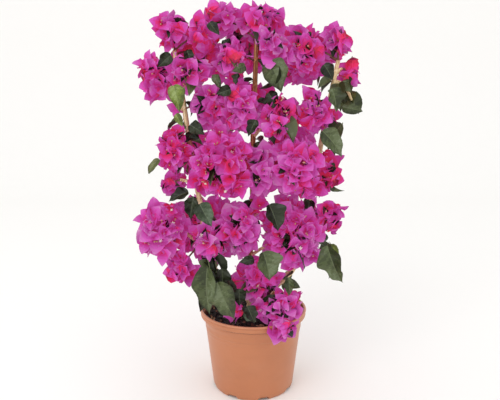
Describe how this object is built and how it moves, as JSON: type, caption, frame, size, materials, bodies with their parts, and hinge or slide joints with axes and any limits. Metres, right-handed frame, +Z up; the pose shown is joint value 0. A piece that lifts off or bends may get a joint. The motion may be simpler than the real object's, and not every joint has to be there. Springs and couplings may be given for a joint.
{
  "type": "potted bougainvillea bush",
  "caption": "Fan-trained bougainvillea bush in a round grow pot, with heads of papery magenta bracts and grey-green leaves on three slender leaders.",
  "frame": {"origin": "centre of the pot's flat underside", "axes": "+Z up; +X across the fan, to the right seen from the front; the plant's front, with most of its flowers, faces -Y"},
  "size_m": [0.3942, 0.2171, 0.6752],
  "materials": {
    "pot": "satin",
    "soil": "matte",
    "bark": "matte",
    "bracts": "matte",
    "leaves": "satin"
  },
  "bodies": {
    "root": {"bough_back_centre": "bark", "bough_lower_centre": "bark", "bough_lower_left": "bark", "bough_lower_right": "bark", "bough_middle_left": "bark", "bough_right_tip": "bark", "bough_third_centre": "bark", "bough_upper_left": "bark", "bough_upper_right": "bark", "crown_back_lower_left": "bracts", "crown_back_lower_right": "bracts", "crown_back_middle_left": "bracts", "crown_back_middle_right": "bracts", "crown_back_third": "bracts", "crown_back_top_left": "bracts", "crown_back_top_middle": "bracts", "crown_back_top_right": "bracts", "crown_bottom_centre": "bracts", "crown_bottom_left": "bracts", "crown_bottom_right": "bracts", "crown_lower_centre": "bracts", "crown_lower_far_right": "bracts", "crown_lower_left": "bracts", "crown_lower_right": "bracts", "crown_lower_wing_drop": "bracts", "crown_lower_wing_left": "bracts", "crown_middle_centre": "bracts", "crown_middle_far_left": "bracts", "crown_middle_far_right": "bracts", "crown_middle_left": "bracts", "crown_middle_right": "bracts", "crown_middle_tuft": "bracts", "crown_over_rim": "bracts", "crown_right_tip": "bracts", "crown_third_far_right": "bracts", "crown_third_left": "bracts", "crown_third_middle": "bracts", "crown_third_right": "bracts", "crown_top_centre": "bracts", "crown_top_far_left": "bracts", "crown_top_far_right": "bracts", "crown_top_left": "bracts", "crown_top_peak": "bracts", "crown_top_right": "bracts", "crown_upper_centre": "bracts", "crown_upper_left": "bracts", "crown_upper_middle": "bracts", "crown_upper_wing_left": "bracts", "leader_left": "bark", "leader_middle": "bark", "leader_right": "bark", "leaves_bottom_left": "leaves", "leaves_lower_right": "leaves", "leaves_middle_right": "leaves", "leaves_right_tip": "leaves", "leaves_upper_centre": "leaves", "leaves_upper_right": "leaves", "pot": "pot", "soil": "soil", "trunk": "bark"}
  },
  "joints": []
}
